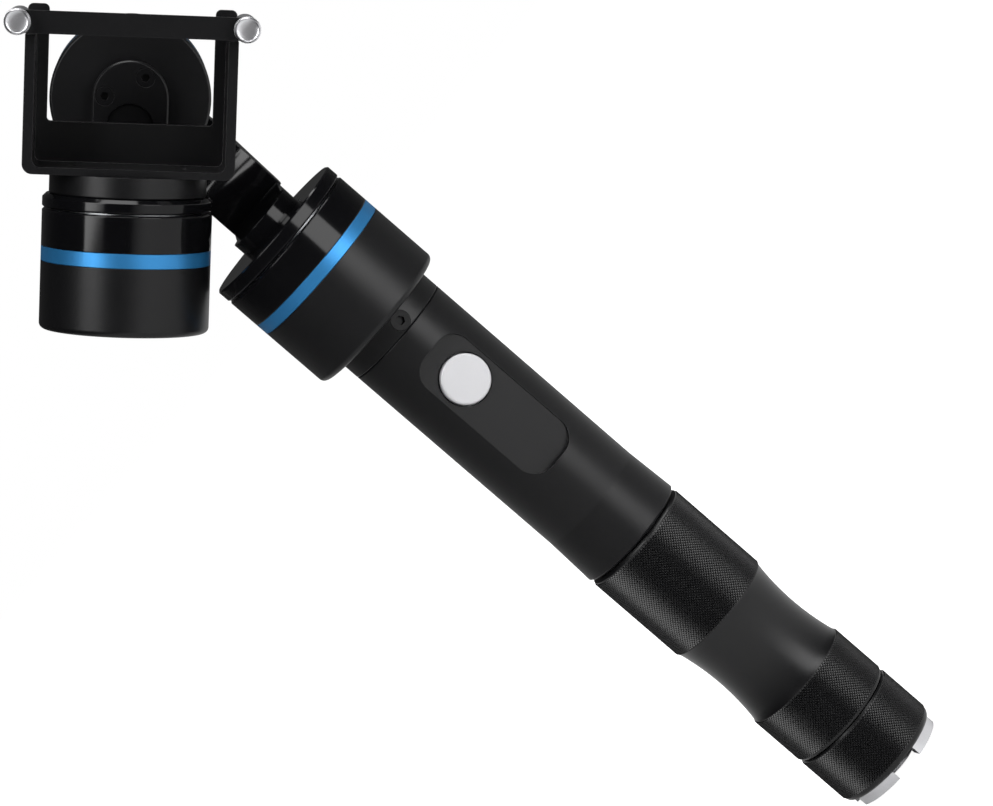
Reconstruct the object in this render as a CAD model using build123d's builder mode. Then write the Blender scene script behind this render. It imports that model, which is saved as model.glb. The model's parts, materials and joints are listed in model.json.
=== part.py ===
from build123d import *
import os
from math import cos, radians, sin

# Three-axis hand-held camera gimbal, in millimetres.
# +Z runs along the handle from the tail to the head, -Y is the front, and the origin is the
# centre of the tail's tripod thread, at its mouth. Each piece that would come off on a bench
# is its own sub-part and its own STEP file.

# ---- handle, heights along Z ------------------------------------------------------------
RING_TOP = 2.3
CAP_SEAM = 16.7
TAIL_KNURL_TOP = 30.8
WAIST_TOP = 53.7
TUBE_SEAM = 79.4
FLARE_TOP = 92.0
COLLAR_SEAM = 148.6
COLLAR_SCREW_Z = 151.1
PAN_BASE_Z = 153.4
SEAM_GAP = 0.3
SEAM_EDGE = 0.2
GRIP_EDGE = 0.5
GRIP_R = 13.8
TUBE_R = 13.3
WAIST_R = 12.3
BORE_R = 9.6
SPIGOT_R = 11.85
SOCKET_R = 11.9
CAP_SPIGOT_R = 11.25
CAP_SOCKET_R = 11.3
CAP_SPIGOT_TOP = 22.0
SPIGOT_TOP = 88.0

# ---- tail -------------------------------------------------------------------------------
TAIL_RING_R = 12.5
TAIL_RING_BORE = 8.0
RING_FOOT_R = 9.6
RING_FOOT_TOP = 4.5
NOTCH_COUNT = 4
NOTCH_W = 7.0
NOTCH_TURN = 99
TAIL_EDGE_R = 1.2
INSERT_R = 6.0
INSERT_TOP = 9.5
TRIPOD_R = 3.175
TRIPOD_DEPTH = 7.0
CAP_FLOOR_TOP = 12.0
CAP_BORE_R = 8.6
O_RING_R = 0.7
O_RING_SQUEEZE = 0.05

# ---- battery and electronics ------------------------------------------------------------
CELL_R = 9.2
CELL_BOTTOM = 23.0
CELL_LENGTH = 65.0
CELL_EDGE_R = 0.6
CELL_CAP_R = 3.0
CELL_CAP_T = 0.9
CONTACT_PIN_R = 2.5
CONTACT_BOARD_Z = 90.2
BOARD_T = 1.6
BOARD_W = 17.0
BOARD_L = 46.0
BOARD_CORNER_R = 1.0
BOARD_CLEARANCE = 0.1
CHIP_SIZE = 7.0
CHIP_T = 1.0
CHIP_SPACING = 11.0
CHIP_DROP = 8.0

# ---- button and its flat, on the side of the tube turned slightly from the front --------
BUTTON_TURN = 11.5
BUTTON_Z = 131.7
BUTTON_R = 5.65
BUTTON_HOLE_R = 6.0
BUTTON_FACE = 12.4
BUTTON_EDGE_R = 0.5
FLANGE_R = 6.5
FLANGE_OUT = 7.0
FLANGE_IN = 6.2
FLAT_BOTTOM_Z = 105.0
FLAT_TOP_Z = 141.8
FLAT_W = 14.0
FLAT_OUT = 11.0
FLAT_CORNER_R = 4.8
BOARD_OUT = 2.6
SWITCH_SIZE = 6.0
SWITCH_OUT = 4.6
PLUNGER_OUT = 5.4
PLUNGER_R = 1.7

# ---- motors, heights from the closed end of the housing ---------------------------------
MOTOR_R = 18.2
MOTOR_WALL = 1.5
MOTOR_FLOOR = 2.6
HOUSING_EDGE_R = 1.3
RING_EDGE = 0.15
EDGE = 0.35
HUB_R = 6.5
HUB_TOP = 21.5
BEARING_R = 5.0
BEARING_W = 3.0
LOWER_BEARING_Z = 5.0
SHAFT_R = 2.97
BEARING_BORE_R = 3.0
SHAFT_BORE_R = 1.6
SHAFT_COLLAR_R = 3.6
CABLE_HOLE_R = 2.6
BELL_R = 15.9
BELL_IN_R = 15.1
BELL_WEB = 1.3
BELL_BOTTOM = 8.0
MAGNET_IN_R = 13.5
MAGNET_BOTTOM = 9.0
MAGNET_TOP = 20.0
MAGNET_COUNT = 14
STATOR_R = 13.1
STATOR_RIM = 1.0
STATOR_CORE_R = 8.2
STATOR_BOTTOM = 9.5
STATOR_TOP = 19.5
TOOTH_COUNT = 12
TOOTH_W = 2.0
COIL_R = 10.2
COIL_L = 2.8
COIL_W = 4.2
COIL_WIRE = 1.0
TILT_MOTOR_R = 18.5
PAN_HEIGHTS = {"housing": 16.6, "ring": 3.0, "cover": 7.5, "cap": 3.2, "cap_edge": EDGE}
ROLL_HEIGHTS = {"housing": 16.6, "ring": 3.0, "cover": 7.5, "cap": 2.6, "cap_edge": 0.5}
TILT_HEIGHTS = {"housing": 14.9, "ring": 3.3, "cover": 8.1, "cap": 3.0, "cap_edge": 0.8}

# ---- axes and arms ----------------------------------------------------------------------
PAN_X = -0.85
ROLL_Z = 224.9
HEAD_TURN = 39.0
PLATE_Y = 31.0
PLATE_T = 4.0
ARM_HALF_W = 8.6
ARM_SCREW_CIRCLE = 5.8
ARM_SCREW_R = 2.125
ARM_SCREW_SINK = 1.6
M2_R = 1.0
M2_HOLE_R = 1.05
PAN_COLLAR_R = 8.15
PAN_COLLAR_T = 3.9
FOOT_HALF_W = 7.3
NECK_HALF_W = 7.8

# ---- camera tray, in the head's own directions ------------------------------------------
TRAY_HALF_W = 22.8
TRAY_WALL = 2.2
SHELF_TOP = -13.0
SHELF_T = 1.6
SIDE_TOP = 15.2
EAR_TOP = 21.3
TRAY_FRONT = -14.0
BACK_FRONT = 7.0
BACK_T = 2.5
WINDOW_HALF_W = 18.1
WINDOW_BOTTOM = -4.2
POST_X = 24.45
POST_H = 18.0
POST_R = 2.7
POST_FRONT = -14.2
BAR_T = 1.8
BAR_H = 4.95
SCREW_HEAD_R = 2.93
SCREW_HEAD_L = 3.6
SCREW_R = 1.5
SCREW_L = 8.0
DRUM_R = 17.1

os.makedirs("parts", exist_ok=True)


def write(builder, name):
    """Label a finished sub-part and write it as its own STEP file."""
    builder.part.label = name
    export_step(builder.part, f"parts/{name}.step")


def outward(turn, distance, z):
    """Plane facing out of the handle at a turn from the front, with its Y along the handle."""
    normal = Vector(sin(radians(turn)), -cos(radians(turn)), 0)
    sideways = Vector(cos(radians(turn)), sin(radians(turn)), 0)
    return Plane(origin=normal * distance + Vector(0, 0, z), x_dir=sideways, z_dir=normal)


# The head's own directions: X across the tray, Y from front to back, Z away from the tilt motor.
HEAD_X = Vector(sin(radians(HEAD_TURN)), 0, -cos(radians(HEAD_TURN)))
HEAD_Z = Vector(cos(radians(HEAD_TURN)), 0, sin(radians(HEAD_TURN)))
HEAD_ORIGIN = Vector(PAN_X, 0, ROLL_Z)
HEAD = Plane(origin=HEAD_ORIGIN, x_dir=HEAD_X, z_dir=HEAD_Z)


def facing(y):
    """Plane across the head at a depth, looking out of the front, with its Y along the head's Z."""
    return Plane(origin=HEAD_ORIGIN + Vector(0, y, 0), x_dir=HEAD_X, z_dir=Vector(0, -1, 0))


def cover_top(heights):
    """Height of a motor's last fixed face above its closed end."""
    return heights["housing"] + heights["ring"] + heights["cover"]


def motor_length(heights):
    """Whole length of a motor, from its closed end to the outer face of its turning cap."""
    return cover_top(heights) + SEAM_GAP + heights["cap"]


# ---- motors -----------------------------------------------------------------------------
def motor_housing(base, heights, motor_r):
    """Matte cup with a hub for the bearings. Returns the solid, for its owner to finish."""
    axis = Axis(base.origin, base.z_dir)
    with BuildPart() as housing:
        with BuildSketch(base):
            Circle(motor_r)
        extrude(amount=heights["housing"])
        fillet(housing.edges().sort_by(axis)[0], HOUSING_EDGE_R)
        with BuildSketch(base.offset(MOTOR_FLOOR)):
            Circle(motor_r - MOTOR_WALL)
        extrude(amount=heights["housing"], mode=Mode.SUBTRACT)
        with BuildSketch(base.offset(MOTOR_FLOOR)):
            Circle(HUB_R)
        extrude(amount=HUB_TOP - MOTOR_FLOOR)
        with BuildSketch(base.offset(LOWER_BEARING_Z)):
            Circle(BEARING_R)
        extrude(amount=HUB_TOP - LOWER_BEARING_Z, mode=Mode.SUBTRACT)
        with BuildSketch(base):
            Circle(CABLE_HOLE_R)
        extrude(amount=LOWER_BEARING_Z, mode=Mode.SUBTRACT)
    return housing.part


def motor_shell(prefix, base, heights, motor_r):
    """Blue ring and gloss cover, the two fixed bands above the housing."""
    axis = Axis(base.origin, base.z_dir)
    with BuildPart() as blue_ring:
        with BuildSketch(base.offset(heights["housing"])):
            Circle(motor_r)
            Circle(motor_r - MOTOR_WALL, mode=Mode.SUBTRACT)
        extrude(amount=heights["ring"])
        for end in (0, -1):
            chamfer(blue_ring.edges().group_by(axis)[end].sort_by(SortBy.RADIUS)[-1], RING_EDGE)
    write(blue_ring, f"{prefix}_blue_ring")

    with BuildPart() as cover:
        with BuildSketch(base.offset(heights["housing"] + heights["ring"])):
            Circle(motor_r)
            Circle(motor_r - MOTOR_WALL, mode=Mode.SUBTRACT)
        extrude(amount=heights["cover"])
        chamfer(cover.edges().group_by(axis)[-1].sort_by(SortBy.RADIUS)[-1], EDGE)
    write(cover, f"{prefix}_cover")


def motor_stator(prefix, base):
    """Laminated core, its coils and the two bearings, all fixed to the housing's hub."""
    slot_turn = 180 / TOOTH_COUNT
    rim_mid = STATOR_R - STATOR_RIM / 2
    overlap = 0.5
    with BuildPart() as stator:
        with BuildSketch(base.offset(STATOR_BOTTOM)):
            Circle(STATOR_R)
            Circle(STATOR_R - STATOR_RIM, mode=Mode.SUBTRACT)
            with PolarLocations(rim_mid, TOOTH_COUNT, start_angle=slot_turn):
                Rectangle(3 * STATOR_RIM, TOOTH_W, mode=Mode.SUBTRACT)
            with PolarLocations((STATOR_R + HUB_R) / 2, TOOTH_COUNT):
                Rectangle(STATOR_R - HUB_R - 2 * overlap, TOOTH_W)
            Circle(STATOR_CORE_R)
            Circle(HUB_R, mode=Mode.SUBTRACT)
        extrude(amount=STATOR_TOP - STATOR_BOTTOM)
    write(stator, f"{prefix}_stator")

    clearance = 0.05
    with BuildPart() as coils:
        with BuildSketch(base.offset(STATOR_BOTTOM - COIL_WIRE)):
            with PolarLocations(COIL_R, TOOTH_COUNT):
                Rectangle(COIL_L, COIL_W)
        extrude(amount=STATOR_TOP - STATOR_BOTTOM + 2 * COIL_WIRE)
        with BuildSketch(base.offset(STATOR_BOTTOM - clearance)):
            with PolarLocations(COIL_R, TOOTH_COUNT):
                Rectangle(2 * COIL_L, TOOTH_W + 2 * clearance)
        extrude(amount=STATOR_TOP - STATOR_BOTTOM + 2 * clearance, mode=Mode.SUBTRACT)
    write(coils, f"{prefix}_coils")

    with BuildPart() as bearings:
        for bottom in (LOWER_BEARING_Z, HUB_TOP - BEARING_W):
            with BuildSketch(base.offset(bottom)):
                Circle(BEARING_R)
                Circle(BEARING_BORE_R, mode=Mode.SUBTRACT)
            extrude(amount=BEARING_W)
    write(bearings, f"{prefix}_bearings")


def motor_rotor(prefix, base, heights, motor_r, screw_circle, screw_turns):
    """Turning cap, bell, magnets and shaft. The cap is drilled for what is screwed to it."""
    axis = Axis(base.origin, base.z_dir)
    web_top = cover_top(heights) + SEAM_GAP
    with BuildPart() as rotor_cap:
        with BuildSketch(base.offset(web_top)):
            Circle(motor_r)
            Circle(SHAFT_R, mode=Mode.SUBTRACT)
            for turn in screw_turns:
                with PolarLocations(screw_circle, 1, start_angle=turn):
                    Circle(M2_HOLE_R, mode=Mode.SUBTRACT)
        extrude(amount=heights["cap"])
        chamfer(rotor_cap.edges().group_by(axis)[0].sort_by(SortBy.RADIUS)[-1], EDGE)
        chamfer(rotor_cap.edges().group_by(axis)[-1].sort_by(SortBy.RADIUS)[-1], heights["cap_edge"])
    write(rotor_cap, f"{prefix}_rotor_cap")

    with BuildPart() as bell:
        with BuildSketch(base.offset(BELL_BOTTOM)):
            Circle(BELL_R)
        extrude(amount=web_top - BELL_BOTTOM)
        with BuildSketch(base.offset(BELL_BOTTOM)):
            Circle(BELL_IN_R)
        extrude(amount=web_top - BELL_WEB - BELL_BOTTOM, mode=Mode.SUBTRACT)
        with BuildSketch(base.offset(BELL_BOTTOM)):
            Circle(SHAFT_R)
            for turn in screw_turns:
                with PolarLocations(screw_circle, 1, start_angle=turn):
                    Circle(M2_HOLE_R)
        extrude(amount=web_top - BELL_BOTTOM, mode=Mode.SUBTRACT)
    write(bell, f"{prefix}_bell")

    magnet_gap = 0.8
    cutter_l = 4 * (BELL_IN_R - MAGNET_IN_R)
    with BuildPart() as magnets:
        with BuildSketch(base.offset(MAGNET_BOTTOM)):
            Circle(BELL_IN_R)
            Circle(MAGNET_IN_R, mode=Mode.SUBTRACT)
            with PolarLocations(BELL_IN_R, MAGNET_COUNT):
                Rectangle(cutter_l, magnet_gap, mode=Mode.SUBTRACT)
        extrude(amount=MAGNET_TOP - MAGNET_BOTTOM)
    write(magnets, f"{prefix}_magnets")

    end_play = 0.15
    collar_bottom = LOWER_BEARING_Z + BEARING_W + end_play
    with BuildPart() as shaft:
        with BuildSketch(base.offset(LOWER_BEARING_Z + end_play)):
            Circle(SHAFT_R)
        extrude(amount=motor_length(heights) - LOWER_BEARING_Z - end_play)
        with BuildSketch(base.offset(collar_bottom)):
            Circle(SHAFT_COLLAR_R)
        extrude(amount=HUB_TOP - BEARING_W - end_play - collar_bottom)
        with BuildSketch(base):
            Circle(SHAFT_BORE_R)
        extrude(amount=motor_length(heights), mode=Mode.SUBTRACT)
    write(shaft, f"{prefix}_shaft")


PAN_BASE = Plane(origin=(PAN_X, 0, PAN_BASE_Z))
ROLL_BASE = Plane(
    origin=(PAN_X, PLATE_Y + PLATE_T + motor_length(ROLL_HEIGHTS), ROLL_Z),
    x_dir=(1, 0, 0),
    z_dir=(0, -1, 0),
)
DRUM_BOTTOM = -19.3
TILT_BASE = HEAD.offset(DRUM_BOTTOM - motor_length(TILT_HEIGHTS))
PAN_TOP_Z = PAN_BASE_Z + motor_length(PAN_HEIGHTS)
PAN_SCREW_TURNS = (90, 210, 330)
TRAY_SCREW_CIRCLE = 12.8
TRAY_SCREW_TURNS = (20, 160, 200, 340)
# The roll arm's screws, counted from the head's X towards its Z, then the same in ROLL_BASE's
# own directions.
ARM_SCREW_TURNS = (56, 176, 296)
ROLL_SCREW_TURNS = tuple(turn + HEAD_TURN - 90 for turn in ARM_SCREW_TURNS)

for motor_name, motor_base, motor_heights, radius, circle, turns in (
    ("pan", PAN_BASE, PAN_HEIGHTS, MOTOR_R, ARM_SCREW_CIRCLE, PAN_SCREW_TURNS),
    ("roll", ROLL_BASE, ROLL_HEIGHTS, MOTOR_R, ARM_SCREW_CIRCLE, ROLL_SCREW_TURNS),
    ("tilt", TILT_BASE, TILT_HEIGHTS, TILT_MOTOR_R, TRAY_SCREW_CIRCLE, TRAY_SCREW_TURNS),
):
    motor_shell(motor_name, motor_base, motor_heights, radius)
    motor_stator(motor_name, motor_base)
    motor_rotor(motor_name, motor_base, motor_heights, radius, circle, turns)

with BuildPart() as roll_housing:
    add(motor_housing(ROLL_BASE, ROLL_HEIGHTS, MOTOR_R))
write(roll_housing, "roll_housing")

with BuildPart() as tilt_housing:
    add(motor_housing(TILT_BASE, TILT_HEIGHTS, TILT_MOTOR_R))
write(tilt_housing, "tilt_housing")

COLLAR_SCREW_TURNS = (12, 132, 252)
COLLAR_HEAD_R = 2.2
COLLAR_HEAD_T = 1.2
COLLAR_BORE_R = 11.25
COLLAR_ROOT = 0.5
COLLAR_HEX_R = 1.05
COLLAR_HEX_DEPTH = 1.0
SCREW_HOLE_CLEARANCE = 0.05

with BuildPart() as pan_housing:
    add(motor_housing(PAN_BASE, PAN_HEIGHTS, MOTOR_R))
    with BuildSketch(Plane.XY.offset(COLLAR_SEAM)):
        Circle(TUBE_R)
        Circle(COLLAR_BORE_R, mode=Mode.SUBTRACT)
    extrude(amount=PAN_BASE_Z - COLLAR_SEAM + COLLAR_ROOT)
    chamfer(pan_housing.edges().group_by(Axis.Z)[0].sort_by(SortBy.RADIUS)[-1], SEAM_EDGE)
    for turn in COLLAR_SCREW_TURNS:
        with BuildSketch(outward(turn, TUBE_R - COLLAR_HEAD_T, COLLAR_SCREW_Z)):
            Circle(COLLAR_HEAD_R + SCREW_HOLE_CLEARANCE)
        extrude(amount=2 * COLLAR_HEAD_T, mode=Mode.SUBTRACT)
        with BuildSketch(outward(turn, BORE_R, COLLAR_SCREW_Z)):
            Circle(M2_HOLE_R)
        extrude(amount=TUBE_R - BORE_R, mode=Mode.SUBTRACT)
write(pan_housing, "pan_housing")

SCREW_END_OUT = 9.8
with BuildPart() as collar_screws:
    for turn in COLLAR_SCREW_TURNS:
        with BuildSketch(outward(turn, SCREW_END_OUT, COLLAR_SCREW_Z)):
            Circle(M2_R)
        extrude(amount=TUBE_R - SCREW_END_OUT - COLLAR_HEAD_T)
        with BuildSketch(outward(turn, TUBE_R - COLLAR_HEAD_T, COLLAR_SCREW_Z)):
            Circle(COLLAR_HEAD_R)
        extrude(amount=COLLAR_HEAD_T)
        with BuildSketch(outward(turn, TUBE_R - COLLAR_HEX_DEPTH, COLLAR_SCREW_Z)):
            RegularPolygon(radius=COLLAR_HEX_R, side_count=6)
        extrude(amount=COLLAR_HEX_DEPTH, mode=Mode.SUBTRACT)
write(collar_screws, "collar_screws")

# ---- handle -----------------------------------------------------------------------------
flat_plane = outward(BUTTON_TURN, FLAT_OUT, BUTTON_Z)
flat_length = FLAT_TOP_Z - FLAT_BOTTOM_Z
flat_middle = (FLAT_TOP_Z + FLAT_BOTTOM_Z) / 2 - BUTTON_Z
SPIGOT_LEN = 4.7

with BuildPart() as front_tube:
    with BuildSketch(Plane.XZ):
        with BuildLine():
            Polyline(
                (0, TUBE_SEAM + SEAM_GAP / 2),
                (GRIP_R - GRIP_EDGE, TUBE_SEAM + SEAM_GAP / 2),
                (GRIP_R, TUBE_SEAM + SEAM_GAP / 2 + GRIP_EDGE),
                (TUBE_R, FLARE_TOP),
                (TUBE_R, COLLAR_SEAM - SEAM_EDGE),
                (TUBE_R - SEAM_EDGE, COLLAR_SEAM),
                (COLLAR_BORE_R, COLLAR_SEAM),
                (COLLAR_BORE_R, COLLAR_SEAM + SPIGOT_LEN),
                (0, COLLAR_SEAM + SPIGOT_LEN),
                close=True,
            )
        make_face()
    revolve(axis=Axis.Z)
    with BuildSketch(Plane.XY.offset(TUBE_SEAM)):
        Circle(SOCKET_R)
    extrude(amount=SPIGOT_TOP + SEAM_GAP - TUBE_SEAM, mode=Mode.SUBTRACT)
    with BuildSketch(Plane.XY.offset(SPIGOT_TOP)):
        Circle(BORE_R)
    extrude(amount=COLLAR_SEAM + SPIGOT_LEN - SPIGOT_TOP, mode=Mode.SUBTRACT)
    with BuildSketch(flat_plane):
        with Locations((0, flat_middle)):
            RectangleRounded(FLAT_W, flat_length, FLAT_CORNER_R)
    extrude(amount=GRIP_R - FLAT_OUT, mode=Mode.SUBTRACT)
    with BuildSketch(outward(BUTTON_TURN, FLANGE_IN, BUTTON_Z)):
        Circle(BUTTON_HOLE_R)
    extrude(amount=GRIP_R - FLANGE_IN, mode=Mode.SUBTRACT)
    for turn in COLLAR_SCREW_TURNS:
        with BuildSketch(outward(turn, BORE_R - 1, COLLAR_SCREW_Z)):
            Circle(M2_R + SCREW_HOLE_CLEARANCE)
        extrude(amount=TUBE_R - BORE_R, mode=Mode.SUBTRACT)
write(front_tube, "front_tube")

JOINT_GROOVE_Z = 82.0
GROOVE_W = 1.7
GROOVE_DEPTH = 1.6
with BuildPart() as rear_tube:
    with BuildSketch(Plane.XZ):
        with BuildLine():
            Line((0, CAP_SEAM + SEAM_GAP / 2), (GRIP_R, CAP_SEAM + SEAM_GAP / 2))
            Line((GRIP_R, CAP_SEAM + SEAM_GAP / 2), (GRIP_R, TAIL_KNURL_TOP))
            Line((GRIP_R, TAIL_KNURL_TOP), (TUBE_R, TAIL_KNURL_TOP + GRIP_EDGE))
            ThreePointArc(
                (TUBE_R, TAIL_KNURL_TOP + GRIP_EDGE),
                (WAIST_R, (TAIL_KNURL_TOP + WAIST_TOP) / 2),
                (TUBE_R, WAIST_TOP - GRIP_EDGE),
            )
            Polyline(
                (TUBE_R, WAIST_TOP - GRIP_EDGE),
                (GRIP_R, WAIST_TOP),
                (GRIP_R, TUBE_SEAM - SEAM_GAP / 2 - GRIP_EDGE),
                (GRIP_R - GRIP_EDGE, TUBE_SEAM - SEAM_GAP / 2),
                (SPIGOT_R, TUBE_SEAM - SEAM_GAP / 2),
                (SPIGOT_R, SPIGOT_TOP),
                (0, SPIGOT_TOP),
                (0, CAP_SEAM + SEAM_GAP / 2),
            )
        make_face()
    revolve(axis=Axis.Z)
    with BuildSketch(Plane.XY.offset(CAP_SEAM)):
        Circle(BORE_R)
    extrude(amount=SPIGOT_TOP - CAP_SEAM, mode=Mode.SUBTRACT)
    with BuildSketch(Plane.XY.offset(CAP_SEAM)):
        Circle(CAP_SOCKET_R)
    extrude(amount=CAP_SPIGOT_TOP + SEAM_GAP - CAP_SEAM, mode=Mode.SUBTRACT)
    with BuildSketch(Plane.XY.offset(JOINT_GROOVE_Z - GROOVE_W / 2)):
        Circle(SPIGOT_R + 1)
        Circle(SPIGOT_R - GROOVE_DEPTH, mode=Mode.SUBTRACT)
    extrude(amount=GROOVE_W, mode=Mode.SUBTRACT)
write(rear_tube, "rear_tube")


def o_ring(spigot_r, z):
    """Rubber ring in the groove of a spigot, just inside the spigot's own radius."""
    with BuildPart() as ring:
        with BuildSketch(Plane.XZ):
            with Locations((spigot_r - O_RING_R - O_RING_SQUEEZE, z)):
                Circle(O_RING_R)
        revolve(axis=Axis.Z)
    return ring


write(o_ring(SPIGOT_R, JOINT_GROOVE_Z), "joint_o_ring")
TAIL_GROOVE_Z = 18.7
write(o_ring(CAP_SPIGOT_R, TAIL_GROOVE_Z), "tail_o_ring")

with BuildPart() as tail_cap:
    with BuildSketch(Plane.XY.offset(RING_TOP)):
        Circle(GRIP_R)
    extrude(amount=CAP_SEAM - SEAM_GAP / 2 - RING_TOP)
    fillet(tail_cap.edges().sort_by(Axis.Z)[0], TAIL_EDGE_R)
    with BuildSketch(Plane.XY.offset(CAP_SEAM - SEAM_GAP / 2)):
        Circle(CAP_SPIGOT_R)
    extrude(amount=CAP_SPIGOT_TOP - CAP_SEAM + SEAM_GAP / 2)
    with BuildSketch(Plane.XY.offset(CAP_FLOOR_TOP)):
        Circle(CAP_BORE_R)
    extrude(amount=CAP_SPIGOT_TOP - CAP_FLOOR_TOP, mode=Mode.SUBTRACT)
    with BuildSketch(Plane.XY.offset(RING_TOP)):
        Circle(INSERT_R)
    extrude(amount=INSERT_TOP - RING_TOP, mode=Mode.SUBTRACT)
    with BuildSketch(Plane.XY.offset(RING_TOP)):
        Circle(RING_FOOT_R)
        Circle(TAIL_RING_BORE, mode=Mode.SUBTRACT)
    extrude(amount=RING_FOOT_TOP - RING_TOP, mode=Mode.SUBTRACT)
    with BuildSketch(Plane.XY.offset(TAIL_GROOVE_Z - GROOVE_W / 2)):
        Circle(CAP_SPIGOT_R + 1)
        Circle(CAP_SPIGOT_R - GROOVE_DEPTH, mode=Mode.SUBTRACT)
    extrude(amount=GROOVE_W, mode=Mode.SUBTRACT)
write(tail_cap, "tail_cap")

with BuildPart() as tail_ring:
    with BuildSketch(Plane.XY):
        Circle(TAIL_RING_R)
        Circle(TAIL_RING_BORE, mode=Mode.SUBTRACT)
    extrude(amount=RING_TOP)
    with BuildSketch(Plane.XY):
        with PolarLocations(TAIL_RING_R, NOTCH_COUNT, start_angle=NOTCH_TURN):
            Rectangle(2 * TAIL_RING_BORE, NOTCH_W)
    extrude(amount=RING_TOP, mode=Mode.SUBTRACT)
    with BuildSketch(Plane.XY.offset(RING_TOP)):
        Circle(RING_FOOT_R)
        Circle(TAIL_RING_BORE, mode=Mode.SUBTRACT)
    extrude(amount=RING_FOOT_TOP - RING_TOP)
write(tail_ring, "tail_ring")

with BuildPart() as thread_insert:
    with BuildSketch(Plane.XY):
        Circle(INSERT_R)
    extrude(amount=INSERT_TOP)
    with BuildSketch(Plane.XY):
        Circle(TRIPOD_R)
    extrude(amount=TRIPOD_DEPTH, mode=Mode.SUBTRACT)
write(thread_insert, "thread_insert")

CONTACT_T = 1.0
CONTACT_R = 8.3
CONTACT_Z = CAP_FLOOR_TOP + SEAM_GAP
with BuildPart() as tail_contact:
    with BuildSketch(Plane.XY.offset(CONTACT_Z)):
        Circle(CONTACT_R)
    extrude(amount=CONTACT_T)
write(tail_contact, "tail_contact")

SPRING_R = 5.0
SPRING_WIRE_R = 0.4
SPRING_BOTTOM = CONTACT_Z + CONTACT_T + SPRING_WIRE_R
SPRING_GAP = 0.1
SPRING_HEIGHT = CELL_BOTTOM - SPRING_GAP - SPRING_WIRE_R - SPRING_BOTTOM
SPRING_TURNS = 4
with BuildPart() as tail_spring:
    with BuildLine():
        coil = Helix(SPRING_HEIGHT / SPRING_TURNS, SPRING_HEIGHT, SPRING_R, center=(0, 0, SPRING_BOTTOM))
    with BuildSketch(Plane(origin=coil @ 0, z_dir=coil % 0)):
        Circle(SPRING_WIRE_R)
    sweep(path=coil)
write(tail_spring, "tail_spring")

with BuildPart() as battery_cell:
    with BuildSketch(Plane.XY.offset(CELL_BOTTOM)):
        Circle(CELL_R)
    extrude(amount=CELL_LENGTH)
    fillet(battery_cell.edges(), CELL_EDGE_R)
    with BuildSketch(Plane.XY.offset(CELL_BOTTOM + CELL_LENGTH)):
        Circle(CELL_CAP_R)
    extrude(amount=CELL_CAP_T)
write(battery_cell, "battery_cell")

contact_pin_bottom = CELL_BOTTOM + CELL_LENGTH + CELL_CAP_T + BOARD_CLEARANCE
with BuildPart() as contact_board:
    with BuildSketch(Plane.XY.offset(CONTACT_BOARD_Z)):
        Circle(BORE_R - BOARD_CLEARANCE)
    extrude(amount=BOARD_T)
    with BuildSketch(Plane.XY.offset(contact_pin_bottom)):
        Circle(CONTACT_PIN_R)
    extrude(amount=CONTACT_BOARD_Z - contact_pin_bottom)
write(contact_board, "contact_board")

board_middle = (CONTACT_BOARD_Z + COLLAR_SEAM) / 2 + 1
with BuildPart() as control_board:
    with BuildSketch(outward(BUTTON_TURN, BOARD_OUT - BOARD_T, board_middle)):
        RectangleRounded(BOARD_W, BOARD_L, BOARD_CORNER_R)
    extrude(amount=BOARD_T)
    with BuildSketch(outward(BUTTON_TURN, BOARD_OUT, board_middle - CHIP_DROP)):
        with GridLocations(0, CHIP_SPACING, 1, 2):
            Rectangle(CHIP_SIZE, CHIP_SIZE)
    extrude(amount=CHIP_T)
write(control_board, "control_board")

with BuildPart() as button_switch:
    with BuildSketch(outward(BUTTON_TURN, BOARD_OUT, BUTTON_Z)):
        Rectangle(SWITCH_SIZE, SWITCH_SIZE)
    extrude(amount=SWITCH_OUT - BOARD_OUT)
    with BuildSketch(outward(BUTTON_TURN, SWITCH_OUT, BUTTON_Z)):
        Circle(PLUNGER_R)
    extrude(amount=PLUNGER_OUT - SWITCH_OUT)
write(button_switch, "button_switch")

with BuildPart() as button:
    with BuildSketch(outward(BUTTON_TURN, FLANGE_IN, BUTTON_Z)):
        Circle(FLANGE_R)
    extrude(amount=FLANGE_OUT - FLANGE_IN)
    with BuildSketch(outward(BUTTON_TURN, FLANGE_OUT, BUTTON_Z)):
        Circle(BUTTON_R)
    extrude(amount=BUTTON_FACE - FLANGE_OUT)
    button_axis = Axis((0, 0, BUTTON_Z), outward(BUTTON_TURN, 1, 0).z_dir)
    fillet(button.edges().sort_by(button_axis)[-1], BUTTON_EDGE_R)
write(button, "button")

# ---- pan arm: a foot on the pan motor's cap and a gooseneck up to the roll motor --------
FOOT_TOP_Z = PAN_TOP_Z + PAN_COLLAR_T
FOOT_DROP = 1.9
FOOT_STEP_Y = MOTOR_R + 0.8
FOOT_STEP_L = 1.5
FOOT_BACK_Y = 34.0
NECK_BOTTOM_Z = FOOT_TOP_Z - 0.9
NECK_FRONT_Y = 30.0
NECK_FRONT_MID = (33.4, ROLL_Z - 25.9)
NECK_SHOULDER = (46.5, ROLL_Z - 19.0)
SADDLE_FRONT_Y = 50.2
SADDLE_BACK_Y = 64.0
SADDLE_Z = ROLL_Z - 18.7
SADDLE_IN_Z = ROLL_Z - 14.0
NECK_BACK_MID = (52.5, ROLL_Z - 26.3)
HEEL_TOP = (41.5, NECK_BOTTOM_Z + 3.2)
HEEL_MID = (39.0, NECK_BOTTOM_Z + 1.0)
HEEL_BOTTOM = (36.0, NECK_BOTTOM_Z)
ARM_SCREW_BITE = 3.0
ARM_SCREW_END_GAP = 0.2
pan_side = Plane.YZ.offset(PAN_X)

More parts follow.
